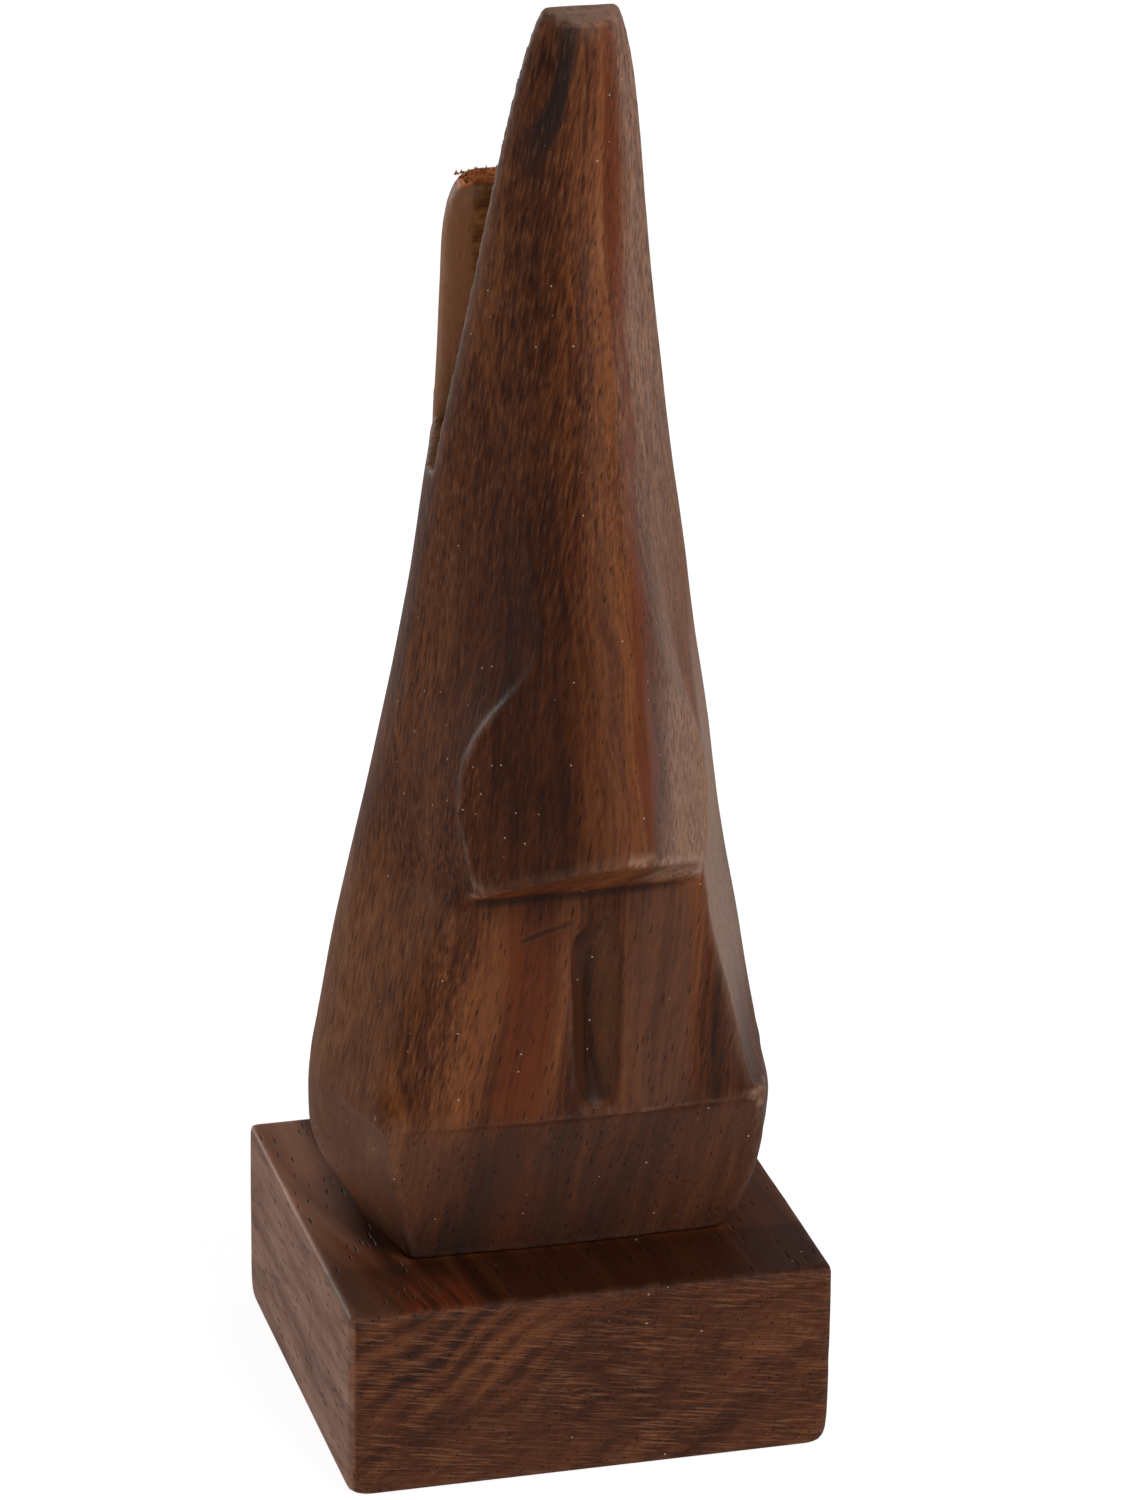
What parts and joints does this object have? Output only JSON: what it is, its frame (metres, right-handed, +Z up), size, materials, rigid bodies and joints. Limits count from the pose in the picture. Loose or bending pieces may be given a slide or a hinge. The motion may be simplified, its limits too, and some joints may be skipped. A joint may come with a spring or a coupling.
{
  "type": "spectacle display stand",
  "caption": "Free-standing carved wooden nose on a rectangular foot; spectacles rest on the bridge and their folded temples lie in a sawn slot behind it.",
  "frame": {"origin": "centre of the base block's flat underside, where the stand rests on a table", "axes": "+Z up along the height of the stand, -Y the way the nose points, +X to the viewer's right when the nose points at the viewer"},
  "size_m": [0.062, 0.0673, 0.1838],
  "materials": {
    "rosewood_body": "dark reddish-brown rosewood with near-black streaks along its length, hand carved, sanded and waxed to a satin sheen; walls of the slot left rough from the saw",
    "rosewood_base": "the same rosewood, grain from side to side, coarser sanding marks, satin",
    "screw_steel": "zinc-plated steel"
  },
  "bodies": {
    "root": {"nose_body": "rosewood_body", "base_block": "rosewood_base", "screw_front": "screw_steel", "screw_rear": "screw_steel"}
  },
  "joints": []
}
